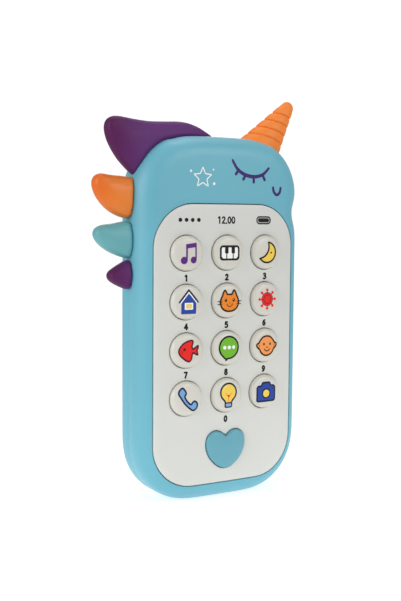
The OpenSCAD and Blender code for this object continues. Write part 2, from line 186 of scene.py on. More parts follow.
def inside(points, loop):
    """Even-odd test of many points against a loop."""
    x, z = points[:, :1], points[:, 1:]
    a, b = loop, np.roll(loop, -1, axis=0)
    rise = b[:, 1] - a[:, 1]
    crosses = (a[:, 1] > z) != (b[:, 1] > z)
    at = a[:, 0] + (z - a[:, 1]) * (b[:, 0] - a[:, 0]) / np.where(rise == 0, 1, rise)
    return (crosses & (x < at)).sum(axis=1) % 2 == 1


def within(points, loops):
    """Which points are inside the first loop and outside the others."""
    keep = inside(points, loops[0])
    for loop in loops[1:]:
        keep &= ~inside(points, loop)
    return keep


def distance(points, path, closed=True):
    """How far each point is from a path."""
    best = np.full(len(points), 1e9)
    ends = np.roll(path, -1, axis=0) if closed else path[1:]
    for a, b in zip(path, ends):
        d = b - a
        t = np.clip(((points - a) @ d) / max(d @ d, 1e-12), 0, 1)
        best = np.minimum(best, np.linalg.norm(points - a - t[:, None] * d, axis=1))
    return best


def grown(loop, by):
    """The loop moved outwards (or inwards, if by is negative), without the folds this makes."""
    loop = turned(loop)
    moved = loop + outward(loop) * by
    keep = distance(moved, loop) > abs(by) * 0.98
    if by < 0:
        keep &= inside(moved, loop)
    return moved[keep]


def lattice(loops, step, margin=0.6):
    """Points of a triangular lattice inside the first loop and outside the others."""
    low, high = loops[0].min(axis=0), loops[0].max(axis=0)
    rows = []
    for j, z in enumerate(np.arange(low[1], high[1], step * 0.866)):
        x = np.arange(low[0] + (j % 2) * step / 2, high[0], step)
        rows.append(np.stack([x, np.full(len(x), z)], axis=1))
    p = np.vstack(rows)
    p = p[within(p, loops)]
    for loop in loops:
        p = p[distance(p, loop) > margin * step]
    return p


def triangles(loops, fill):
    """Triangulates the area inside the first loop and outside the others, using the fill points too.

    Gives the triangles as index triples into the loops' points followed by the fill points.
    """
    points = np.vstack(loops + [fill]) if len(fill) else np.vstack(loops)
    edges = []
    start = 0
    for loop in loops:
        n = len(loop)
        edges += [(start + i, start + (i + 1) % n) for i in range(n)]
        start += n
    made = delaunay_2d_cdt([Vector(p) for p in points], edges, [], 0, 1e-6)
    source = [olds[0] if olds else int(np.argmin(np.linalg.norm(points - np.array(at), axis=1)))
              for at, olds in zip(made[0], made[3])]
    faces = np.array([[source[i] for i in face] for face in made[2]])
    faces = faces[(faces != np.roll(faces, 1, axis=1)).all(axis=1)]
    return faces[within(points[faces].mean(axis=1), loops)]


# ---- meshes ----

def shade_smooth(mesh, angle):
    """Smooth shading, apart from edges sharper than the angle."""
    mesh.polygons.foreach_set("use_smooth", [True] * len(mesh.polygons))
    mesh.set_sharp_from_angle(angle=math.radians(angle))


class Build:
    """Points, in millimetres, and faces gathered for one mesh."""

    def __init__(self):
        self.verts = []
        self.faces = []

    def add(self, points):
        """Adds points and gives the number of the first one."""
        start = len(self.verts)
        self.verts += [tuple(p) for p in points]
        return start

    def ring_band(self, a, b, count):
        """Joins two rings of count points."""
        for i in range(count):
            j = (i + 1) % count
            self.faces.append((a + i, a + j, b + j, b + i))

    def loft(self, rings, last):
        """Adds rings, each joined to the one before, and gives where the last one starts."""
        for ring in rings:
            now = self.add(ring)
            self.ring_band(last, now, len(ring))
            last = now
        return last

    def capped(self, tip, rings):
        """A closed skin: a fan from the tip to the first ring, the other rings, and a flat end."""
        tip = self.add([tip])
        first = self.add(rings[0])
        count = len(rings[0])
        self.faces += [(tip, first + i, first + (i + 1) % count) for i in range(count)]
        last = self.loft(rings[1:], first)
        self.faces.append(tuple(range(last + count - 1, last - 1, -1)))

    def object(self, name, material, smooth_angle=40):
        """The gathered mesh as an object, with its normals made to point out."""
        mesh = bpy.data.meshes.new(name)
        mesh.from_pydata([tuple(v) for v in np.array(self.verts) * MM], [],
                         [tuple(map(int, f)) for f in self.faces])
        bm = bmesh.new()
        bm.from_mesh(mesh)
        bmesh.ops.remove_doubles(bm, verts=bm.verts, dist=2e-6)
        bmesh.ops.dissolve_degenerate(bm, edges=bm.edges, dist=1e-6)
        bmesh.ops.recalc_face_normals(bm, faces=bm.faces)
        bm.to_mesh(mesh)
        bm.free()
        shade_smooth(mesh, smooth_angle)
        obj = bpy.data.objects.new(name, mesh)
        bpy.context.collection.objects.link(obj)
        mesh.materials.append(material)
        return obj


def at_y(flat, y):
    """Flat (x, z) points as (x, y, z) points."""
    y = np.broadcast_to(y, (len(flat),))
    return np.stack([flat[:, 0], y, flat[:, 1]], axis=1)


def plate(build, outer, holes, front, back, step=None, lip=0.0, rings=3):
    """A sheet between two surfaces, with softened front edges round its outline and its holes.

    front and back give y for (x, z) points.
    """
    loops = [turned(outer)] + [turned(h) for h in holes]
    into = [-outward(loops[0])] + [outward(h) for h in loops[1:]]
    eased = [loop + n * lip for loop, n in zip(loops, into)]
    fill = lattice(eased, step) if step else np.zeros((0, 2))
    faces = triangles(eased, fill)
    front_flat = np.vstack(eased + [fill])
    back_flat = np.vstack(loops + [fill])
    f0 = build.add(at_y(front_flat, front(front_flat)))
    b0 = build.add(at_y(back_flat, back(back_flat)))
    build.faces += [tuple(f + f0) for f in faces] + [tuple(f[::-1] + b0) for f in faces]
    start = 0
    for loop, n in zip(loops, into):
        edge = []
        for k in range(1, rings + 1 if lip else 1):
            a = math.pi / 2 * k / rings
            flat = loop + n * lip * (1 - math.sin(a))
            edge.append(at_y(flat, front(flat) + lip * (1 - math.cos(a))))
        build.ring_band(build.loft(edge, f0 + start), b0 + start, len(loop))
        start += len(loop)


# ---- materials ----

class Nodes:
    """A material's node tree with short ways to add to it."""

    def __init__(self, name):
        self.material = bpy.data.materials.new(name)
        self.material.use_nodes = True
        self.tree = self.material.node_tree
        self.shader = self.tree.nodes["Principled BSDF"]
        self.coords = self.tree.nodes.new("ShaderNodeTexCoord").outputs["Object"]

    def node(self, kind, **values):
        """Adds a node. A value names one of its settings or, with _ for a space, an input."""
        made = self.tree.nodes.new(kind)
        for key, value in values.items():
            if hasattr(made, key):
                setattr(made, key, value)
            else:
                made.inputs[key.replace("_", " ")].default_value = value
        return made

    def link(self, a, b):
        self.tree.links.new(a, b)

    def set(self, socket, value):
        """Sets one of the shader's own values."""
        self.shader.inputs[socket].default_value = value

    def drive(self, socket, source):
        """Links a node's output to one of the shader's inputs."""
        self.link(source, self.shader.inputs[socket])

    def noise(self, scale, detail=3.0, roughness=0.55, stretch=None):
        made = self.node("ShaderNodeTexNoise", Scale=scale, Detail=detail, Roughness=roughness)
        source = self.coords
        if stretch:
            mapping = self.node("ShaderNodeMapping", Scale=stretch)
            self.link(self.coords, mapping.inputs["Vector"])
            source = mapping.outputs["Vector"]
        self.link(source, made.inputs["Vector"])
        return made.outputs["Fac"]

    def ramp(self, fac, low, high, start=0.3, end=0.7):
        made = self.node("ShaderNodeValToRGB")
        for stop, at, color in zip(made.color_ramp.elements, (start, end), (low, high)):
            stop.position = at
            stop.color = color
        self.link(fac, made.inputs["Fac"])
        return made.outputs["Color"]

    def span(self, fac, low, high):
        made = self.node("ShaderNodeMapRange", To_Min=low, To_Max=high)
        self.link(fac, made.inputs["Value"])
        return made.outputs["Result"]

    def bump(self, height, strength, depth, under=None):
        made = self.node("ShaderNodeBump", Strength=strength, Distance=depth)
        self.link(height, made.inputs["Height"])
        if under is not None:
            self.link(under, made.inputs["Normal"])
        return made.outputs["Normal"]

    def mix(self, fac, a, b):
        """Mixes colour a, an output or a fixed colour, with the output b."""
        made = self.node("ShaderNodeMix", data_type="RGBA")
        self.link(fac, made.inputs[0])
        if isinstance(a, tuple):
            made.inputs[6].default_value = a
        else:
            self.link(a, made.inputs[6])
        self.link(b, made.inputs[7])
        return made.outputs[2]

    def run(self, axis, start, end, kind="SMOOTHSTEP"):
        """Goes from 0 to 1 between two places along an axis, in millimetres."""
        split = self.node("ShaderNodeSeparateXYZ")
        self.link(self.coords, split.inputs["Vector"])
        made = self.node("ShaderNodeMapRange", interpolation_type=kind, From_Min=start * MM,
                         From_Max=end * MM)
        self.link(split.outputs[axis], made.inputs["Value"])
        return made.outputs["Result"]


def tint(rgb, k):
    """An 8-bit screen colour in linear light, made lighter or darker, with its alpha."""
    out = []
    for v in rgb:
        v /= 255
        linear = v / 12.92 if v <= 0.04045 else ((v + 0.055) / 1.055) ** 2.4
        out.append(min(1.0, linear * k))
    return (*out, 1.0)


def moulded(name, rgb, rough, mottle=0.03, grain=0.25, coat=0.0, soft=0.0, specular=0.5,
            sheen=0.0, painted_shade=None):
    """Moulded plastic or silicone: faint flow mottling, a fine satin grain and uneven gloss.

    The last argument gives painted shade: a darker colour that the surface runs into between two x
    positions, in millimetres, standing in for the shade on the part's left side.
    """
    n = Nodes(name)
    flow = n.noise(38, 4, 0.6)
    cloud = n.ramp(flow, tint(rgb, 1 - mottle), tint(rgb, 1 + mottle))
    dust = n.noise(2600, 2, 0.5)
    speck = n.ramp(dust, tint(rgb, 1 - mottle * 2.2), tint(rgb, 1), 0.18, 0.32)
    color = n.mix(n.span(dust, 0.15, 0.45), cloud, speck)
    # Painted shade: the colour darkens towards negative x, where the part's left side lies in shade.
    if painted_shade:
        painted_shade_rgb, start, end = painted_shade
        color = n.mix(n.run("X", start, end), tint(painted_shade_rgb, 1), color)
    n.drive("Base Color", color)
    n.drive("Roughness", n.span(n.noise(420, 3, 0.6), rough - 0.05, rough + 0.06))
    fine = n.noise(2860, 2, 0.6)
    waves = n.noise(55, 2, 0.4)
    normal = n.bump(waves, 0.05, 0.0004)
    n.drive("Normal", n.bump(fine, grain, 0.00002, normal))
    n.set("Specular IOR Level", specular)
    n.set("Coat Weight", coat)
    n.set("Coat Roughness", 0.18)
    n.set("Sheen Weight", sheen)
    n.set("Sheen Roughness", 0.45)
    if soft:
        n.set("Subsurface Weight", soft)
        n.set("Subsurface Radius", (1.0, 0.8, 0.7))
        n.set("Subsurface Scale", 0.002)
    return n.material


def printed(name, rgb):
    """Pad-printed ink: nearly even, with tiny pinholes and a soft gloss."""
    n = Nodes(name)
    grain = n.noise(3500, 2, 0.5)
    n.drive("Base Color", n.ramp(grain, tint(rgb, 0.86), tint(rgb, 1.05), 0.25, 0.55))
    n.drive("Roughness", n.span(n.noise(900, 2, 0.5), 0.45, 0.6))
    n.set("Specular IOR Level", 0.25)
    n.drive("Normal", n.bump(grain, 0.12, 0.00001))
    return n.material


def metal(name, rgb, rough, stretch=(1, 1, 30)):
    """Brushed or plated metal: drawn streaks, light scratches and uneven gloss."""
    n = Nodes(name)
    streaks = n.noise(300, 4, 0.6, stretch)
    n.drive("Base Color", n.ramp(streaks, tint(rgb, 0.82), tint(rgb, 1.06)))
    n.drive("Roughness", n.span(streaks, rough - 0.07, rough + 0.12))
    n.drive("Normal", n.bump(streaks, 0.15, 0.00002))
    n.set("Metallic", 1.0)
    return n.material


def fibre(name, rgb, scale=900):
    """Foam, cloth or paper: open cells or fibres with a rough, dry surface."""
    n = Nodes(name)
    cells = n.node("ShaderNodeTexVoronoi", Scale=float(scale))
    n.link(n.coords, cells.inputs["Vector"])
    shade = cells.outputs["Distance"]
    n.drive("Base Color", n.ramp(shade, tint(rgb, 0.55), tint(rgb, 1.25), 0.05, 0.6))
    n.set("Roughness", 0.95)
    n.drive("Normal", n.bump(shade, 0.5, 0.0001))
    return n.material


def sleeve(name, rgb, band, middle_z, half_z):
    """A cell's shrink sleeve: a body colour with a bright band near one end."""
    n = Nodes(name)
    level = n.run("Z", middle_z + half_z * 0.48, middle_z + half_z * 0.5, "LINEAR")
    low = n.ramp(n.noise(200, 3), tint(rgb, 0.85), tint(rgb, 1.1))
    high = n.ramp(n.noise(200, 3), tint(band, 0.9), tint(band, 1.05))
    n.drive("Base Color", n.mix(level, low, high))
    n.drive("Roughness", n.span(n.noise(500, 2), 0.22, 0.34))
    return n.material


M = {
    "body": moulded("body_satin_blue", (104, 178, 197), 0.46, sheen=0.16),
    "panel": moulded("panel_satin_white", (214, 215, 210), 0.42, mottle=0.012, grain=0.2),
    "key": moulded("key_cream", (212, 210, 200), 0.34, mottle=0.012, grain=0.12, soft=0.05),
    "heart": moulded("heart_satin_blue", (98, 165, 182), 0.4),
    # Painted shade: the mane and the purple fin darken into maroon towards their left side.
    "purple": moulded("mane_silicone_purple", (96, 46, 112), 0.55, grain=0.35, specular=0.2,
                      sheen=0.06, painted_shade=((86, 24, 78), -52, -33)),
    "horn": moulded("horn_silicone_orange", (248, 138, 54), 0.5, grain=0.3, specular=0.35),
    # Painted shade: the orange fin turns deeper orange towards its far left end.
    "orange": moulded("fin_silicone_orange", (236, 128, 42), 0.46, grain=0.3, specular=0.4,
                      sheen=0.06, painted_shade=((230, 110, 24), -56, -46)),
    "teal": moulded("fin_silicone_teal", (102, 170, 176), 0.46, grain=0.3, specular=0.4,
                    sheen=0.1),
    "silicone": moulded("membrane_silicone", (178, 178, 174), 0.6, grain=0.4),
    "carbon": moulded("black_plastic", (34, 34, 36), 0.5, mottle=0.1, grain=0.5),
    "epoxy": moulded("epoxy_black", (22, 22, 24), 0.3, mottle=0.1, coat=0.3),
    "board": moulded("solder_mask_green", (24, 92, 52), 0.32, mottle=0.12, coat=0.4),
    "ceramic": moulded("ceramic_tan", (168, 140, 104), 0.5, mottle=0.1),
    "red_lead": moulded("lead_red", (190, 30, 28), 0.4),
    "black_lead": moulded("lead_black", (24, 24, 26), 0.4),
    "nickel": metal("nickel_plate", (205, 205, 208), 0.25),
    "screw": metal("zinc_screw", (190, 192, 196), 0.32, (30, 1, 30)),
    "plated": metal("plated_steel", (140, 142, 148), 0.35, (6, 6, 6)),
    "gold": metal("gold_flash", (214, 172, 96), 0.28, (4, 4, 4)),
    "paper": fibre("cone_paper", (58, 56, 54)),
    "foam": fibre("black_foam", (38, 38, 40), scale=1400),
}

# Each ink's colour and the slot it is printed in.
INKS = {
    "dark": ((17, 17, 19), "ink_dark"),
    "navy": ((20, 26, 66), "ink_blue"),
    "brown": ((42, 24, 20), "ink_dark"),
    "wine": ((84, 14, 30), "ink_red"),
    "plum": ((60, 36, 108), "ink_purple"),
    "purple": ((92, 36, 128), "ink_purple"),
    "white": ((246, 246, 244), "ink_white"),
    "blue": ((38, 70, 158), "ink_blue"),
    "sky": ((116, 164, 216), "ink_sky"),
    "steel": ((140, 166, 212), "ink_sky"),
    "yellow": ((240, 206, 84), "ink_yellow"),
    "straw": ((226, 220, 160), "ink_yellow"),
    "orange": ((236, 134, 36), "ink_orange"),
    "peach": ((242, 152, 84), "ink_orange"),
    "red": ((232, 34, 30), "ink_red"),
    "green": ((112, 182, 48), "ink_green"),
}
INK = {ink: printed("ink_" + ink, rgb) for ink, (rgb, _) in INKS.items()}


# ---- the case ----

def crown_y(flat):
    """The front's gently crowned face."""
    return -FACE + CROWN * (flat[:, 0] / HALF_W) ** 2


def back_y(flat):
    """The flat back."""
    return np.full(len(flat), BACK)


def edge_drop(u, radius):
    """How far a rounded edge has fallen at u in from its outside."""
    over = np.clip(radius - u, 0, radius)
    return radius - np.sqrt(radius ** 2 - over ** 2)


def case_y(flat):
    """The whole front: the crowned face with its rounded edge."""
    return crown_y(flat) + edge_drop(distance(flat, OUTLINE), EDGE_R)


def body_outline(count=520):
    """The handset's outline, with the waist under the head on the right."""
    foot = HALF_W - FOOT_R
    head = HALF_W - HEAD_R
    right = np.vstack([[[0, 0]], arc((foot, FOOT_R), FOOT_R, -90, 0),
                       arc((head, TOP - HEAD_R), HEAD_R, 0, 90), [[0, TOP]]])
    left = right[::-1][1:-1] * [-1, 1]
    loop = relax(resample(np.vstack([right, left]), count), 40)
    x, z = loop.T
    crest = (z > TOP / 2) & (np.abs(x) < HEAD_R)
    z -= HEAD_SLOPE * (x / HEAD_R) ** 2 * crest
    x -= NOTCH_DEPTH * np.exp(-((z - NOTCH_Z) / NOTCH_WIDTH) ** 2) * (x > 0)
    return relax(loop, 6)


OUTLINE = body_outline()


def shell(name, face_y, to_back, opening, holes, node):
    """One half of the case: skin, rounded edge, face with its openings, and the cavity behind it."""
    build = Build()
    count = len(OUTLINE)
    out = outward(OUTLINE)
    holes = [turned(opening)] + [turned(h) for h in holes]

    def outer_y(flat, u):
        return face_y(flat) + to_back * edge_drop(u, EDGE_R)

    def inner_y(flat, u):
        return face_y(flat) + to_back * (WALL + edge_drop(u - WALL, EDGE_R - WALL))

    seam = build.add(at_y(OUTLINE - out * SEAM_INSET, 0.0))
    rings = [at_y(OUTLINE - out * SEAM_INSET / 3, -to_back * SEAM_STEP / 3),
             at_y(OUTLINE, -to_back * SEAM_STEP)]
    for a in np.radians(np.linspace(0, FACE_ANGLE, 14)):
        inset = EDGE_R * (1 - math.cos(a))
        flat = OUTLINE - out * inset
        rings.append(at_y(flat, outer_y(flat, inset)))
    last = build.loft(rings[:-1], seam)
    rim = OUTLINE - out * inset
    loops = [rim] + [h + outward(h) * HOLE_LIP for h in holes]
    fill = lattice(loops, CASE_STEP)
    faces = triangles(loops, fill)
    flat = np.vstack(loops + [fill])
    f0 = build.add(at_y(flat, outer_y(flat, distance(flat, OUTLINE))))
    build.faces += [tuple(f + f0) for f in faces]
    build.ring_band(last, f0, count)
    flat = np.vstack([rim] + holes + [fill])
    b0 = build.add(at_y(flat, inner_y(flat, distance(flat, OUTLINE))))
    build.faces += [tuple(f[::-1] + b0) for f in faces]
    start = count
    for hole in holes:
        edge = []
        for a in (math.pi / 6, math.pi / 3, math.pi / 2):
            ring = hole + outward(hole) * HOLE_LIP * (1 - math.sin(a))
            y = outer_y(ring, distance(ring, OUTLINE)) + to_back * HOLE_LIP * (1 - math.cos(a))
            edge.append(at_y(ring, y))
        build.ring_band(build.loft(edge, f0 + start), b0 + start, len(hole))
        start += len(hole)
    inner_r = EDGE_R - WALL
    rings = []
    for turn in np.linspace(math.acos(1 - (inset - WALL) / inner_r), 0, 9)[1:]:
        u = WALL + inner_r * (1 - math.cos(turn))
        ring = OUTLINE - out * u
        rings.append(at_y(ring, inner_y(ring, u)))
    rings.append(at_y(OUTLINE - out * WALL, 0.0))
    build.ring_band(build.loft(rings, b0), seam, count)
    obj = build.object(name, M["body"], 50)
    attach(obj, ROOT)
    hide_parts(node)
    return obj


def panel_outline(gap):
    """The screen panel's outline, grown by the gap."""
    return resample(round_box(-PANEL_HW - gap, PANEL_HW + gap, PANEL_LOW[2] - gap, PANEL_HIGH[2] + gap,
                              PANEL_R + gap, 24), 360)


def heart_outline(grow=0.0, count=150):
    """A plump heart with round lobes, bowed sides and a soft tip."""
    half = [(0, 13.5), (2.5, 14.0), (5.2, 15.8), (7.8, 18.8), (9.2, 22.0), (9.45, 25.0), (8.8, 27.5),
            (7.1, 29.2), (4.8, 29.8), (2.5, 29.2), (0.85, 28.0), (0, 27.5)]
    loop = turned(resample(curve(mirrored(half), 10), count))
    return loop + outward(loop) * grow


GRILLE_HOLE_R = 1.0
GRILLE_PITCH = 3.6


def grille_holes():
    """Three rings of round holes about a middle one, over the loudspeaker's cone."""
    middle = ((CONE_LOW + CONE_HIGH) / 2)[[0, 2]]
    holes = [circle(middle, GRILLE_HOLE_R, 20)]
    for ring in (1, 2, 3):
        centers = circle(middle, GRILLE_PITCH * ring, 6 * ring)
        holes += [circle(center, GRILLE_HOLE_R, 20) for center in centers]
    return holes


DOOR_GAP = 0.3
DOOR_R = 4.0
SLOT_HALF_W = 6.8
SLOT_HALF_H = 2.3
SLOT_R = 0.6


def make_case():
    """The two halves, with the screen's opening in front and the fittings' openings behind."""
    shell("case_front", crown_y, 1, panel_outline(PANEL_GAP), [], "front_shell")
    door = round_box(DOOR_LOW[0] - DOOR_GAP, DOOR_HIGH[0] + DOOR_GAP, DOOR_LOW[2] - DOOR_GAP,
                     DOOR_HIGH[2] + DOOR_GAP, DOOR_R + DOOR_GAP, 10)
    slot_z = (KNOB_LOW[2] + KNOB_HIGH[2]) / 2
    slot = round_box(-SLOT_HALF_W, SLOT_HALF_W, slot_z - SLOT_HALF_H, slot_z + SLOT_HALF_H, SLOT_R, 6)
    holes = [resample(slot, 60)] + grille_holes()
    bore_screws(shell("case_back", back_y, -1, resample(door, 180), holes, "back_shell"))


SCREW_HEAD_R = 2.5
SCREW_MIDDLE_Z = 78.0
SCREW_TOP_X = 30.0
WELL_R = 2.8
WELL_FLOOR = 7.0
POST_R = 3.9
POST_FRONT = 0.3
POST_BACK = 9.2


def bore_screws(back):
    """Gives the back its six screw posts and sinks their wells into it."""
    low, high = mm_box("case_screws")
    places = []
    for side in (-1, 1):
        x = side * (high[0] - SCREW_HEAD_R)
        places += [(x, low[2] + SCREW_HEAD_R), (x, SCREW_MIDDLE_Z)]
        places.append((side * SCREW_TOP_X, high[2] - SCREW_HEAD_R))
    combine(back, columns("screw_posts", places, POST_R, POST_FRONT, POST_BACK), "UNION")
    combine(back, columns("screw_wells", places, WELL_R, WELL_FLOOR, BACK + WALL), "DIFFERENCE")


def columns(name, places, r, low, high):
    """Round columns along y at the given (x, z) places."""
    count = 40
    build = Build()
    for at in places:
        ring = circle(at, r, count)
        a = build.add(at_y(ring, low))
        b = build.add(at_y(ring, high))
        build.ring_band(a, b, count)
        build.faces.append(tuple(range(a + count - 1, a - 1, -1)))
        build.faces.append(tuple(range(b, b + count)))
    return build.object(name, M["body"])


def combine(obj, tool, operation):
    """Applies an exact Boolean with another closed mesh, which is then removed."""
    step = obj.modifiers.new(operation.lower(), "BOOLEAN")
    step.operation = operation
    step.solver = "EXACT"
    step.object = tool
    graph = bpy.context.evaluated_depsgraph_get()
    done = bpy.data.meshes.new_from_object(obj.evaluated_get(graph))
    obj.modifiers.clear()
    obj.data = done
    bpy.data.objects.remove(tool)
    shade_smooth(done, 50)


PANEL_LIP = 0.45


def make_panel():
    """The screen panel, with an opening for each key and for the heart."""
    build = Build()
    holes = [circle(KEY_AT[k], KEY_R + KEY_GAP, 64) for k in KEYS] + [heart_outline(KEY_GAP)]
    plate(build, panel_outline(0), holes, case_y, lambda p: case_y(p) + WALL, step=2.0,
          lip=PANEL_LIP, rings=4)
    obj = build.object("screen_panel", M["panel"], 50)
    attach(obj, ROOT)
    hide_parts("face_panel")


# ---- keys and heart ----

def key_top(name):
    """The slightly domed top of a key, as y for (x, z) points."""
    at = KEY_AT[name]

    def y(flat):
        r = np.linalg.norm(flat - at, axis=1)
        return crown_y(flat) - KEY_OUT + KEY_DOME * (r / KEY_R) ** 2
    return y


def make_key(name):
    """A round cap: domed top, soft rim and a straight skirt."""
    build = Build()
    top = key_top(name)
    at = KEY_AT[name]
    flat_r = KEY_R - KEY_RIM
    profile = [(r, 0.0) for r in np.linspace(0.6, flat_r, 8)]
    profile += [(flat_r + KEY_RIM * math.sin(a), KEY_RIM * (1 - math.cos(a)))
                for a in np.radians(np.linspace(12, 90, 8))]
    rings = []
    for r, drop in profile:
        ring = circle(at, r, KEY_POINTS)
        rings.append(at_y(ring, top(ring) + drop))
    rings.append(at_y(circle(at, KEY_R, KEY_POINTS), -KEY_BACK))
    build.capped((at[0], top(at[None])[0], at[1]), rings)
    obj = build.object("keycap_" + name, M["key"], 50)
    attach(obj, "key_" + name)
    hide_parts("key_" + name)


HEART_DOME = 0.5
HEART_DOME_REACH = 4.0
HEART_LIP = 0.85


def heart_top(flat):
    """The heart's top, which falls away towards its outline."""
    depth = np.minimum(distance(flat, heart_outline()) / HEART_DOME_REACH, 1)
    return crown_y(flat) - HEART_OUT + HEART_DOME * (1 - depth) ** 2


def make_heart():
    """The heart button: a soft-edged cap with straight sides."""
    build = Build()
    plate(build, heart_outline(), [], heart_top, lambda p: np.full(len(p), -KEY_BACK), step=0.6,
          lip=HEART_LIP, rings=6)
    obj = build.object("heart_cap", M["heart"], 60)
    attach(obj, "heart_button")
    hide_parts("heart_button")


# ---- mane, fins and horn ----

ROOT_R = 2.0
ROOT_PINCH = 0.45
RIM_INSETS = (0.1, 0.35, 0.8, 1.45, 2.3)
RIM_KEPT = 1.6


def pillow(name, outline, half, round_r, material, node, step=0.8, ease=14):
    """A soft moulded fin: flat in the middle and fully rounded towards its free edge.

    half is half its thickness. The part of its outline inside the case is its root.
    """
    loop = turned(outline)
    free = ~inside(loop, OUTLINE - outward(OUTLINE))
    start = int(np.argmax(free & ~np.roll(free, 1)))
    path = np.roll(loop, -start, axis=0)[:int(free.sum())]
    rings = []
    out = outward(loop)
    for inset in RIM_INSETS:
        ring = loop - out * inset
        keep = (distance(ring, loop) > inset * 0.93) & inside(ring, loop)
        rings.append(ring[keep][::2] if inset > 1 else ring[keep])
    fill = lattice([loop], step)
    fill = fill[distance(fill, loop) > RIM_INSETS[-1] + 0.5 * step]
    fill = np.vstack(rings + [fill])
    faces = triangles([loop], fill)
    flat = np.vstack([loop, fill])
    depth = distance(flat, path, closed=False)
    depth[:len(loop)][free] = 0
    near_rim = depth < RIM_KEPT
    depth = smooth_values(depth, faces, near_rim, ease)
    t = np.clip(depth / round_r, 0, 1)
    thick = half * np.sqrt(1 - (1 - t) ** 2)
    thick = smooth_values(thick, faces, near_rim, 10)
    gap = np.where(inside(flat, OUTLINE), -1, 1) * distance(flat, OUTLINE)
    near_wall = np.clip(1 - (gap + 0.3) / ROOT_R, 0, 1)
    thick *= 1 - ROOT_PINCH * (1 - np.sqrt(1 - near_wall ** 2))
    build = Build()
    a = build.add(at_y(flat, -thick))
    b = build.add(at_y(flat, thick))
    build.faces += [tuple(f + a) for f in faces] + [tuple(f[::-1] + b) for f in faces]
    build.ring_band(a, b, len(loop))
    obj = build.object(name, material, 80)
    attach(obj, ROOT)
    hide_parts(node)
    return obj


def smooth_values(values, faces, fixed, times):
    """Averages values over the mesh's neighbours, apart from the fixed ones."""
    edges = np.unique(np.sort(np.vstack([faces[:, [0, 1]], faces[:, [1, 2]], faces[:, [2, 0]]]), axis=1),
                      axis=0)
    for _ in range(times):
        total = np.zeros(len(values))
        count = np.zeros(len(values))
        np.add.at(total, edges[:, 0], values[edges[:, 1]])
        np.add.at(total, edges[:, 1], values[edges[:, 0]])
        np.add.at(count, edges.ravel(), 1)
        mean = total / np.maximum(count, 1)
        values = np.where(fixed, values, 0.5 * values + 0.5 * mean)
    return values


def make_fins():
    """The mane behind the head and three smaller fins down the left side, drawn root first."""
    def side(points):
        return relax(resample(curve(points, 10), 190), 14)

    orange = side([(-37.2, 136.4), (-39.6, 136.9), (-41.2, 137.2), (-44, 137.4), (-48.5, 137.7),
                   (-52.9, 138.2), (-55.5, 137.1), (-56.5, 134.4), (-55.9, 131.3), (-54.3, 128.1),
                   (-51.9, 125.2), (-48.7, 122.6), (-44.6, 120.7), (-41.6, 120.1), (-39.8, 120.8),
                   (-37.2, 121.7), (-36.6, 128.5)])
    pillow("fin_orange_soft", orange, 5.0, 5.6, M["orange"], "fin_orange")
    teal = side([(-37.2, 117.3), (-39.6, 118.4), (-41.2, 119.0), (-44, 118.7), (-48, 117.9),
                 (-52.8, 117.3), (-55.3, 115.9), (-56.1, 113.5), (-55.0, 110.9), (-52.4, 108.3),
                 (-48.6, 106.0), (-44.2, 104.3), (-41.2, 103.7), (-39.6, 104.4), (-37.2, 105.6),
                 (-36.6, 111)])
    pillow("fin_teal_soft", teal, 4.6, 5.0, M["teal"], "fin_teal")
    purple = side([(-37.2, 101.2), (-39.6, 102.6), (-41.2, 102.9), (-43.9, 101.7), (-47.2, 99.8),
                   (-49.2, 98.3), (-49.9, 96.6), (-49.2, 94.7), (-46.8, 93.0), (-43.6, 91.5),
                   (-41.2, 90.8), (-39.6, 91.2), (-37.2, 92.6), (-36.6, 97)])
    pillow("fin_purple_soft", purple, 4.4, 4.8, M["purple"], "fin_purple")
    mane = resample(curve([(-38.6, 137.9), (-41.7, 140.6), (-45.1, 144.1), (-48.0, 148.2),
                           (-50.0, 152.2), (-50.9, 156.2), (-50.3, 159.3), (-48.3, 161.0),
                           (-45.0, 161.5), (-38.2, 160.7), (-31.2, 160.2), (-24, 160.4),
                           (-17.5, 160.7), (-12.8, 160.3), (-8.2, 159.0), (-4.4, 157.2),
                           (-0.4, 154.9), (3, 152.6), (-8, 151.2), (-18, 150.8), (-26, 148.6),
                           (-31.5, 144.6), (-35, 139.6), (-36.8, 136.4)], 10), 420)
    pillow("mane_soft", mane, 5.2, 6.6, M["purple"], "mane_large", step=0.9, ease=60)


HORN_TIP = np.array([38.5, 169.3])
HORN_DIR = math.radians(52.35)
HORN_LENGTH = 29.0
HORN_TIP_R = 3.15
HORN_FLARE = 0.272
HORN_POINTS = 96
HORN_FLATNESS = 0.7
GROOVE_PITCH = 4.6
GROOVE_COUNT = 4
GROOVE_DEPTH = 0.95
GROOVE_HALF_WIDTH = 0.3
GROOVE_SLANT = 0.36
GROOVE_BOW = 0.1
RIB_SWELL = 0.15


def horn_radius(t):
    """Half the horn's width at t back from the centre of its round tip."""
    return HORN_TIP_R + HORN_FLARE * t


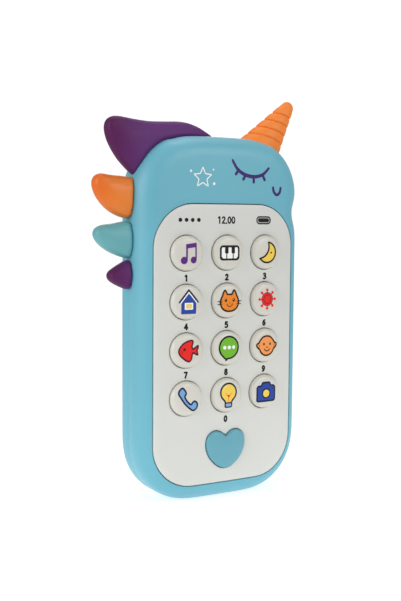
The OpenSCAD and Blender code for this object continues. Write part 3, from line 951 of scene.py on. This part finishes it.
def make_horn():
    """A flattened cone with a round tip and slanting, slightly bowed grooves."""
    rows = [(HORN_TIP_R * math.sin(a), -HORN_TIP_R * math.cos(a))
            for a in np.radians(np.linspace(4, 74, 12))]
    rows += [(None, t) for t in np.linspace(-0.6, HORN_LENGTH, 170)]
    back = np.array([-math.cos(HORN_DIR), -math.sin(HORN_DIR)])
    side = np.array([math.sin(HORN_DIR), -math.cos(HORN_DIR)])
    rings = []
    angles = np.linspace(0, 2 * math.pi, HORN_POINTS, endpoint=False)
    for radius, t in rows:
        r = horn_radius(t) if radius is None else min(radius, horn_radius(t))
        across = np.cos(angles)
        along = t + GROOVE_SLANT * r * across + GROOVE_BOW * r * (1 - across ** 2)
        turns = along / GROOVE_PITCH
        off = (turns - np.clip(np.round(turns), 1, GROOVE_COUNT)) * GROOVE_PITCH
        carve = GROOVE_DEPTH * np.exp(-(off / GROOVE_HALF_WIDTH) ** 2)
        swell = RIB_SWELL * np.abs(np.sin(math.pi * np.maximum(turns, 0))) * (t > 0)
        radii = r - carve + swell
        u = radii * across
        y = radii * np.sin(angles) * HORN_FLATNESS
        flat = HORN_TIP + back * t + side * u[:, None]
        rings.append(at_y(flat, y))
    point = HORN_TIP - back * HORN_TIP_R
    build = Build()
    build.capped((point[0], 0, point[1]), rings)
    obj = build.object("horn_soft", M["horn"], 70)
    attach(obj, ROOT)
    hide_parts("horn")


# ---- printing ----

INK_LIFT = 0.035
INK_LAYER = 0.02
INK_SUNK = 0.05
INK_EDGE_STEP = 0.7


class Print:
    """Ink on one surface: shapes gathered by colour, each colour one thin piece."""

    def __init__(self, name, surface, at=(0, 0), body=ROOT):
        self.name = name
        self.surface = surface
        self.at = np.array(at, float)
        self.body = body
        self.inks = {}

    def shape(self, ink, outline, holes=(), layer=0, step=1.1):
        """A filled area. Higher layers lie on top of lower ones."""
        build = self.inks.setdefault(ink, Build())
        lift = INK_LIFT + INK_LAYER * layer
        outer = dense(np.array(outline, float) + self.at, INK_EDGE_STEP)
        cuts = [dense(np.array(h, float) + self.at, INK_EDGE_STEP) for h in holes]
        plate(build, outer, cuts, lambda p: self.surface(p) - lift,
              lambda p: self.surface(p) + INK_SUNK, step=step)

    def line(self, ink, points, width, layer=0, ends=None):
        """A stroke with round ends. ends gives its width at the two ends, if it tapers."""
        p = np.array(points, float)
        along = np.gradient(p, axis=0)
        normal = np.stack([-along[:, 1], along[:, 0]], axis=1)
        normal /= np.maximum(np.linalg.norm(normal, axis=1, keepdims=True), 1e-9)
        half = np.full(len(p), width / 2)
        if ends is not None:
            s = np.linspace(-1, 1, len(p))
            half = ends / 2 + (width - ends) / 2 * (1 - s ** 2)
        left = p + normal * half[:, None]
        right = p - normal * half[:, None]

        def cap(center, edge, h):
            start = math.degrees(math.atan2(*(edge - center)[::-1]))
            return arc(center, h, start, start - 180, 9)[1:-1]
        loop = np.vstack([left, cap(p[-1], left[-1], half[-1]), right[::-1],
                          cap(p[0], right[0], half[0])])
        self.shape(ink, loop, layer=layer, step=None)

    def ringed(self, ink, fill, outline, width, layer=0):
        """A filled shape with an ink outline that straddles its edge."""
        outline = turned(np.array(outline, float))
        self.shape(ink, grown(outline, width / 2), layer=layer)
        self.shape(fill, grown(outline, -width / 2), layer=layer + 1)

    def dot(self, ink, at, r, layer=0):
        """A round dot."""
        self.shape(ink, circle(at, r, 28), layer=layer)

    def done(self):
        """Makes the pieces, one for each ink."""
        for ink, build in self.inks.items():
            obj = build.object(f"print_{self.name}_{ink}", INK[ink], 60)
            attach(obj, self.body)


def blob(points, count=140, steps=8):
    """A closed smooth curve through the points, evenly spaced."""
    return resample(curve(points, steps), count)


def soft_polygon(points, count=160, times=3):
    """A polygon with slightly softened corners."""
    return relax(resample(np.array(points, float), count), times)


def star_points(center, outer_r, inner_r, tips):
    """A star with one tip straight up."""
    out = []
    for i in range(2 * tips):
        a = math.pi / 2 + math.pi * i / tips
        r = inner_r if i % 2 else outer_r
        out.append(np.array(center) + [r * math.cos(a), r * math.sin(a)])
    return out


def mirrored(half):
    """A closed shape from its right half, whose first and last points are on the axis."""
    return np.vstack([half, np.array(half[1:-1])[::-1] * [-1, 1]])


def draw_music(p):
    p.shape("purple", circle((-2.25, -2.9), 1.55, 32))
    p.shape("purple", circle((2.1, -2.75), 1.4, 32))
    p.shape("purple", [(-1.45, -2.9), (-0.7, -2.9), (-0.7, 3.2), (-1.45, 3.0)], layer=1)
    p.shape("purple", [(2.85, -2.7), (3.5, -2.7), (3.5, 3.8), (2.85, 3.6)], layer=1)
    beam = soft_polygon([(-1.45, 3.75), (-1.45, 1.95), (3.5, 2.6), (3.5, 4.4)], 80, 1)
    p.shape("purple", beam, layer=2)


def draw_piano(p):
    p.shape("dark", round_box(-4.85, 4.85, -3.2, 3.2, 1.5))
    left = [(-3.75, 2.3), (-2.45, 2.3), (-2.45, -0.2), (-1.85, -0.2), (-1.85, -2.35), (-3.3, -2.35),
            (-4.0, -1.6), (-4.0, 1.7)]
    for s in (1, -1):
        p.shape("white", soft_polygon(np.array(left) * [s, 1], 90, 1), layer=1)
    p.shape("white", soft_polygon([(-0.75, 2.3), (0.75, 2.3), (0.75, -0.2), (1.35, -0.2), (1.35, -2.35),
                                   (-1.35, -2.35), (-1.35, -0.2), (-0.75, -0.2)], 90, 1), layer=1)


def draw_moon(p):
    outer = arc((-0.35, 0), 4.4, 79, -141, 60)
    inner = arc((-4.6, 2.6), 5.2, -86, 19, 40)
    p.ringed("dark", "yellow", relax(resample(np.vstack([outer, inner]), 150), 1), 0.75)
    p.dot("dark", (1.7, -0.2), 0.42, 2)
    p.shape("straw", star_points((-2.6, 0.95), 0.95, 0.3, 4))


def draw_house(p):
    for s in (-1, 1):
        p.line("navy", [(s * 4.3, 0.1), (s * 2.2, 2.6), (0, 5.1)], 0.75)
        p.line("white", [(s * 3.7, -0.15), (s * 1.9, 1.95), (0, 4.2)], 0.45, 1)
    p.shape("blue", soft_polygon([(0, 3.75), (-3.45, -0.15), (-3.45, -4.8), (3.45, -4.8),
                                  (3.45, -0.15)], 160, 1))
    p.shape("white", round_box(-1.95, 1.95, -3.0, -0.15, 0.2, 5), layer=1)
    p.shape("yellow", round_box(-1.35, 1.35, -2.5, -0.65, 0.1, 4), layer=2)
    p.line("straw", [(0, -2.45), (0, -0.7)], 0.22, 3)
    p.line("straw", [(-1.3, -1.58), (1.3, -1.58)], 0.22, 3)


def draw_cat(p):
    half = [(0, 2.75), (1.15, 2.85), (1.75, 4.0), (2.25, 4.5), (2.85, 3.9), (3.5, 2.3), (4.25, 0.7),
            (4.5, -0.9), (3.7, -2.9), (2.0, -4.1), (0, -4.4)]
    p.ringed("brown", "orange", blob(mirrored(half), 180) + [0.1, 0], 0.75)
    for s in (-1, 1):
        p.shape("dark", ellipse((0.1 + s * 1.95, 0.3), 0.6, 0.72, 20), layer=2)
        for z, drop in ((-0.35, 0.15), (-1.25, -0.3)):
            p.line("brown", [(0.1 + s * 3.7, z), (0.1 + s * 5.7, z + drop + 0.1)], 0.34, 2)
    for s in (-1, 1):
        p.dot("white", (0.1 + s * 1.95 - 0.15, 0.5), 0.15, 3)
    p.line("brown", arc((0.1, -1.0), 1.4, 195, 345, 20), 0.3, 3)
    p.shape("brown", [(-0.25, -0.75), (0.1, -1.15), (0.45, -0.75)], layer=3, step=None)


def draw_sun(p):
    p.shape("wine", circle((0, 0), 3.0, 48), [circle((0, 0), 2.75, 48)], layer=1)
    p.shape("red", circle((0, 0), 2.9, 48))
    p.shape("wine", circle((0, 0), 2.0, 40), [circle((0, 0), 1.74, 40)], layer=1)
    for i in range(8):
        d = np.array([math.cos(math.pi * i / 4), math.sin(math.pi * i / 4)])
        p.line("red", [d * 2.7, d * 4.1], 0.55, 1)
        p.dot("red", d * 4.0, 0.62, 2)


def draw_fish(p):
    body = [(-4.5, 0.1), (-3.7, 1.9), (-2.0, 3.4), (0.4, 4.3), (1.9, 4.25), (1.95, 3.2), (1.55, 1.9),
            (2.0, 0.75), (3.2, 1.35), (4.5, 2.1), (4.35, 0.9), (3.95, 0.15), (4.15, -0.9), (4.35, -1.8),
            (3.2, -1.35), (2.0, -0.8), (1.6, -1.9), (1.35, -3.3), (0.5, -4.35), (-0.7, -4.15),
            (-2.4, -3.0), (-3.9, -1.6)]
    p.ringed("wine", "red", blob(body, 220, 6), 0.7)
    p.dot("wine", (-2.0, 0.75), 0.62, 2)
    p.line("wine", arc((-4.6, -0.4), 1.6, -25, 25, 8), 0.25, 2)


def draw_chat(p):
    rim = arc((0, 0.4), 4.65, -96, 236, 80)
    outline = np.vstack([rim, [[-2.1, -4.15]], [[-1.1, -4.5]], [[-1.55, -5.25]]])
    p.ringed("dark", "green", relax(resample(outline, 200), 2), 0.75)
    for x in (-2.15, 0.05, 2.25):
        p.dot("white", (x, 0.45), 0.78, 2)


def draw_smile(p):
    head = [(0, 4.2), (1.9, 3.8), (3.3, 2.5), (4.1, 1.4), (5.0, 0.9), (5.15, 0.0), (4.4, -0.95),
            (3.7, -1.5), (2.9, -2.9), (1.5, -3.95), (0, -4.25)]
    p.ringed("brown", "peach", blob(mirrored(head), 190), 0.72)
    for s in (-1, 1):
        p.shape("brown", ellipse((0.1 + s * 1.65, 0.75), 0.42, 0.6, 18), layer=2)
        p.line("brown", arc((s * 5.2, -0.1), 1.3, 90 + s * 50, 90 + s * 120, 8), 0.2, 2)
    p.line("brown", arc((0.1, -0.8), 1.5, 205, 335, 16), 0.45, 2)
    p.line("brown", arc((0.1, -0.35), 0.42, 200, 340, 8), 0.32, 2)


def draw_handset(p):
    shape = [(-2.6, 4.85), (-1.6, 3.9), (-1.0, 2.5), (-1.65, 1.4), (-1.0, -0.2), (0.5, -1.85),
             (1.45, -2.2), (2.2, -1.3), (3.2, -1.0), (4.3, -2.2), (4.05, -3.8), (2.5, -4.85),
             (0.6, -3.8), (-1.7, -1.6), (-3.4, 0.8), (-4.4, 2.5), (-4.0, 3.9)]
    p.ringed("navy", "sky", blob(shape, 180, 6), 0.75)


def draw_bulb(p):
    glass = np.vstack([arc((0, 1.4), 3.85, -38, 218, 60), [[-1.75, -2.3]], [[-1.5, -3.2]],
                       [[1.5, -3.2]], [[1.75, -2.3]]])
    p.ringed("navy", "yellow", relax(resample(glass, 180), 2), 0.75)
    p.ringed("navy", "steel", round_box(-1.6, 1.6, -4.95, -3.1, 0.5, 6), 0.6, layer=2)
    p.shape("red", [(-1.1, 0.55), (-0.6, 0.2), (0, 0.5), (0.6, 0.2), (1.1, 0.55), (0.2, -0.7),
                    (-0.2, -0.7)], layer=2, step=None)
    p.line("red", [(0, -0.5), (0, -2.6)], 0.22, 2)
    for s in (-1, 1):
        p.line("red", [(s * 0.9, 0.5), (s * 1.4, 1.0)], 0.22, 2)
    p.line("straw", arc((0, 1.4), 2.7, 100, 165, 14), 0.3, 2)


def draw_camera(p):
    body = [(-4.7, -3.6), (-4.2, -4.1), (4.2, -4.1), (4.7, -3.6), (4.7, 1.9), (4.0, 2.6), (2.5, 2.7),
            (1.9, 3.9), (1.5, 4.1), (-1.5, 4.1), (-1.9, 3.9), (-2.5, 2.7), (-4.0, 2.6), (-4.7, 1.9)]
    p.ringed("navy", "blue", soft_polygon(body, 220, 2), 0.75)
    p.shape("navy", circle((0, -0.7), 2.3, 40), layer=2)
    p.shape("yellow", circle((0, -0.7), 1.65, 36), layer=3)
    p.line("straw", arc((0, -0.7), 1.05, 100, 190, 12), 0.28, 4)
    p.line("navy", [(3.0, 1.35), (3.7, 1.35)], 0.35, 2)


DRAWINGS = [draw_music, draw_piano, draw_moon, draw_house, draw_cat, draw_sun, draw_fish, draw_chat,
            draw_smile, draw_handset, draw_bulb, draw_camera]

# Numerals in a box from -0.5 to 0.5 high: rings as x, z and two radii, and pen strokes as points.
DIGIT_RINGS = {"0": [(0, 0, 0.22, 0.43)], "6": [(0, -0.17, 0.2, 0.25)], "9": [(0, 0.17, 0.2, 0.25)],
               "8": [(0, 0.23, 0.17, 0.2), (0, -0.2, 0.21, 0.23)]}
SIX_BACK = [(0.17, 0.41), (-0.02, 0.34), (-0.16, 0.15), (-0.2, -0.13)]
DIGIT_STROKES = {
    "1": [[(-0.17, 0.3), (-0.02, 0.43)], [(0.03, 0.43), (0.03, -0.43)]],
    "2": [[(-0.2, 0.29), (-0.06, 0.42), (0.12, 0.39), (0.2, 0.22), (0.1, 0.0), (-0.21, -0.42)],
          [(-0.21, -0.42), (0.23, -0.42)]],
    "3": [[(-0.19, 0.36), (-0.02, 0.43), (0.16, 0.36), (0.17, 0.16), (-0.04, 0.04)],
          [(-0.04, 0.04), (0.17, -0.04), (0.22, -0.24), (0.08, -0.41), (-0.1, -0.42), (-0.21, -0.36)]],
    "4": [[(0.11, -0.43), (0.11, 0.43)], [(0.11, 0.43), (-0.24, -0.18)],
          [(-0.24, -0.18), (0.27, -0.18)]],
    "5": [[(0.18, 0.42), (-0.15, 0.42)], [(-0.15, 0.42), (-0.17, 0.06)],
          [(-0.17, 0.06), (0.02, 0.1), (0.19, 0.0), (0.2, -0.23), (0.06, -0.41), (-0.2, -0.38)]],
    "6": [SIX_BACK],
    "7": [[(-0.21, 0.42), (0.21, 0.42)], [(0.21, 0.42), (-0.08, -0.43)]],
    "9": [[(-x, -z) for x, z in SIX_BACK]],
}
DIGIT_SPAN = 0.86
DIGIT_PITCH = 0.62
POINT_PITCH = 0.45


def numeral(page, text, center, height, width):
    """Plain numerals drawn with a pen of the given width."""
    pitch = DIGIT_PITCH * height
    points = text.count(".")
    x = center[0] - pitch * (len(text) - points - 1 + POINT_PITCH * points) / 2
    scale = (height - width) / DIGIT_SPAN
    for sign in text:
        at = [x, center[1]]
        if sign == ".":
            page.dot("dark", (x - 0.26 * pitch, center[1] - 0.41 * height), width * 0.62)
        for ring_x, ring_z, rx, rz in DIGIT_RINGS.get(sign, []):
            ring = ellipse((ring_x, ring_z), rx, rz, 28) * scale + at
            page.shape("dark", grown(ring, width / 2), [grown(ring, -width / 2)])
        for stroke in DIGIT_STROKES.get(sign, []):
            path = curve(stroke, 5, closed=False) if len(stroke) > 2 else np.array(stroke)
            page.line("dark", path * scale + at, width)
        x += pitch * (POINT_PITCH if sign == "." else 1)


STATUS_Z = 119.6
NUMBER_DROP = 10.35
HEAD_ART_Z = 75.5


def print_panel():
    """The numbers under the keys and the status row: four dots, a clock and a battery."""
    page = Print("panel", crown_y)
    for key, digit in zip(KEYS, "123456789 0 "):
        numeral(page, digit, KEY_AT[key] - [0, NUMBER_DROP], 3.0, 0.76)
    for i in range(4):
        page.dot("dark", (-22.4 + 2.87 * i, STATUS_Z), 0.86)
    cell = round_box(14.8, 22.4, STATUS_Z - 1.75, STATUS_Z + 1.75, 1.6)
    page.shape("dark", cell, [grown(cell, -0.62)])
    page.shape("dark", round_box(15.7, 21.5, STATUS_Z - 0.88, STATUS_Z + 0.88, 0.75))
    numeral(page, "12.00", (-0.4, STATUS_Z), 3.2, 0.62)
    page.done()


def print_face():
    """The sleeping eye with its lashes, the nose, and a plain star with three dots."""
    face = Print("face", crown_y, (0, HEAD_ART_Z))
    lid = curve([(2.4, 69.2), (4.8, 65.7), (8.5, 63.4), (13.3, 62.6), (17.8, 63.6), (21.0, 66.4)], 10,
                closed=False)
    face.line("plum", lid, 1.55, ends=1.0)
    for lash in ([(5.3, 65.1), (4.1, 63.5)], [(8.9, 63.1), (7.9, 61.4)], [(13.1, 62.4), (13.2, 60.3)],
                 [(17.9, 63.2), (18.9, 61.4)]):
        face.line("plum", lash, 1.2, layer=1)
    nose = curve([(23.5, 58.2), (23.9, 56.4), (25.5, 55.1), (27.1, 56.2), (27.5, 58.1)], 8, closed=False)
    face.line("plum", nose, 1.25, ends=1.1)
    middle = np.array([-12.0, 61.6])
    star = soft_polygon(star_points(middle, 4.4, 2.0, 5), 150, 3)
    face.shape("white", grown(star, 0.22), [grown(star, -0.22)], step=None)
    for x, z, r in ((-5.6, 2.6, 0.5), (5.4, -2.4, 0.6), (5.0, 3.4, 0.4)):
        face.dot("white", middle + [x, z], r)
    face.done()


# ---- the CAD nodes that still show ----

LOOK_NODES = {
    "silicone": ["keypad_membrane"],
    "gold": ["contact_pads"],
    "board": ["circuit_board"],
    "epoxy": ["sound_chip", "capacitor"],
    "ceramic": ["board_parts"],
    "nickel": ["switch_body", "battery_springs", "battery_plates"],
    "carbon": ["switch_knob"],
    "plated": ["speaker_basket", "speaker_magnet"],
    "paper": ["speaker_cone"],
    "foam": ["speaker_surround", "speaker_gasket", "speaker_cloth"],
    "body": ["battery_tray", "battery_door"],
    "screw": ["door_screw_bottom", "door_screw_top", "case_screws", "board_screws"],
    "red_lead": ["battery_leads"],
    "black_lead": ["speaker_leads"],
}


def dress_nodes():
    """Gives each CAD node that isn't replaced its material."""
    looks = {node: M[look] for look, nodes in LOOK_NODES.items() for node in nodes}
    for i in (1, 2, 3):
        low, high = mm_box(f"battery_{i}")
        sign = -1 if i == 2 else 1
        looks[f"battery_{i}"] = sleeve(f"cell_sleeve_{i}", (30, 58, 96), (206, 168, 84),
                                       (low[2] + high[2]) / 2, sign * (high[2] - low[2]) / 2)
    for node, material in looks.items():
        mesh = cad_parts[node].data
        mesh.materials.clear()
        mesh.materials.append(material)


# ---- stage, light and camera ----

FLOOR_R = 0.7
FLOOR_GLOW = 0.64
FADE_START = 0.1
FADE_END = 0.45


def make_stage():
    """A pale round floor that fades into the white of the background."""
    mesh = bpy.data.meshes.new("floor")
    rim = circle((0, 0), FLOOR_R, 96)
    mesh.from_pydata([(x, y, 0) for x, y in rim], [], [tuple(range(len(rim)))])
    n = Nodes("floor_white")
    n.drive("Base Color", n.ramp(n.noise(6, 2), (0.59, 0.59, 0.59, 1), (0.61, 0.61, 0.61, 1)))
    n.set("Roughness", 0.9)
    n.set("Specular IOR Level", 0.1)
    n.set("Emission Color", (1, 1, 1, 1))
    n.set("Emission Strength", FLOOR_GLOW)
    far = n.node("ShaderNodeVectorMath", operation="LENGTH")
    n.link(n.coords, far.inputs[0])
    fade = n.node("ShaderNodeMapRange", interpolation_type="SMOOTHSTEP", From_Min=FADE_START,
                  From_Max=FADE_END, To_Min=1.0, To_Max=0.0)
    n.link(far.outputs["Value"], fade.inputs["Value"])
    n.drive("Alpha", fade.outputs["Result"])
    mesh.materials.append(n.material)
    floor = bpy.data.objects.new("floor", mesh)
    bpy.context.collection.objects.link(floor)


def make_light(name, at, aim, size, power, color=(1, 1, 1)):
    """A round area light that faces the aim point."""
    data = bpy.data.lights.new(name, "AREA")
    data.shape = "DISK"
    data.size = size
    data.energy = power
    data.color = color
    lamp = bpy.data.objects.new(name, data)
    lamp.location = at
    lamp.rotation_euler = (Vector(aim) - Vector(at)).to_track_quat("-Z", "Y").to_euler()
    bpy.context.collection.objects.link(lamp)


WORLD_LIGHT = 0.33
WORLD_SEEN = 1.05


def make_lights():
    """Soft studio light all round, with a plain white background behind the object."""
    world = bpy.data.worlds.new("studio")
    world.use_nodes = True
    tree = world.node_tree
    soft = tree.nodes["Background"]
    white = tree.nodes.new("ShaderNodeBackground")
    for source, strength in ((soft, WORLD_LIGHT), (white, WORLD_SEEN)):
        source.inputs["Color"].default_value = (1, 1, 1, 1)
        source.inputs["Strength"].default_value = strength
    path = tree.nodes.new("ShaderNodeLightPath")
    mix = tree.nodes.new("ShaderNodeMixShader")
    tree.links.new(path.outputs["Is Camera Ray"], mix.inputs[0])
    tree.links.new(soft.outputs[0], mix.inputs[1])
    tree.links.new(white.outputs[0], mix.inputs[2])
    tree.links.new(mix.outputs[0], tree.nodes["World Output"].inputs["Surface"])
    bpy.context.scene.world = world
    middle = (0, 0, 0.085)
    make_light("key", (0.55, -1.05, 0.62), middle, 0.6, 6.5, (1.0, 0.995, 0.985))
    make_light("side", (-1.18, -0.14, 0.45), middle, 0.8, 8.3, (0.98, 0.99, 1.0))
    make_light("top", (0.25, 0.15, 1.2), middle, 0.6, 3.0)
    make_light("back", (0.5, 1.1, 0.5), middle, 0.8, 4.0)


CAMERA_AT = (-0.2186, -0.3638, 0.1206)
CAMERA_TURN = 30.36
CAMERA_DOWN = 4.85
CAMERA_ROLL = 0.41
CAMERA_LENS = 58.58


def make_camera():
    """The photograph's viewpoint: 30 degrees to the phone's left, slightly above its middle."""
    data = bpy.data.cameras.new("camera")
    data.sensor_width = 36
    data.lens = CAMERA_LENS
    camera = bpy.data.objects.new("camera", data)
    turn = Matrix.Rotation(math.radians(-CAMERA_TURN), 4, "Z")
    tip = Matrix.Rotation(math.radians(90 - CAMERA_DOWN), 4, "X")
    roll = Matrix.Rotation(math.radians(CAMERA_ROLL), 4, "Z")
    camera.matrix_world = Matrix.Translation(CAMERA_AT) @ turn @ tip @ roll
    bpy.context.collection.objects.link(camera)
    bpy.context.scene.camera = camera


def main():
    make_camera()
    make_lights()
    make_stage()
    bpy.context.scene.view_settings.view_transform = "Standard"
    make_case()
    make_panel()
    for name, draw in zip(KEYS, DRAWINGS):
        make_key(name)
        icon = Print(name, key_top(name), KEY_AT[name], "key_" + name)
        draw(icon)
        icon.done()
    make_heart()
    make_fins()
    make_horn()
    print_panel()
    print_face()
    dress_nodes()


main()
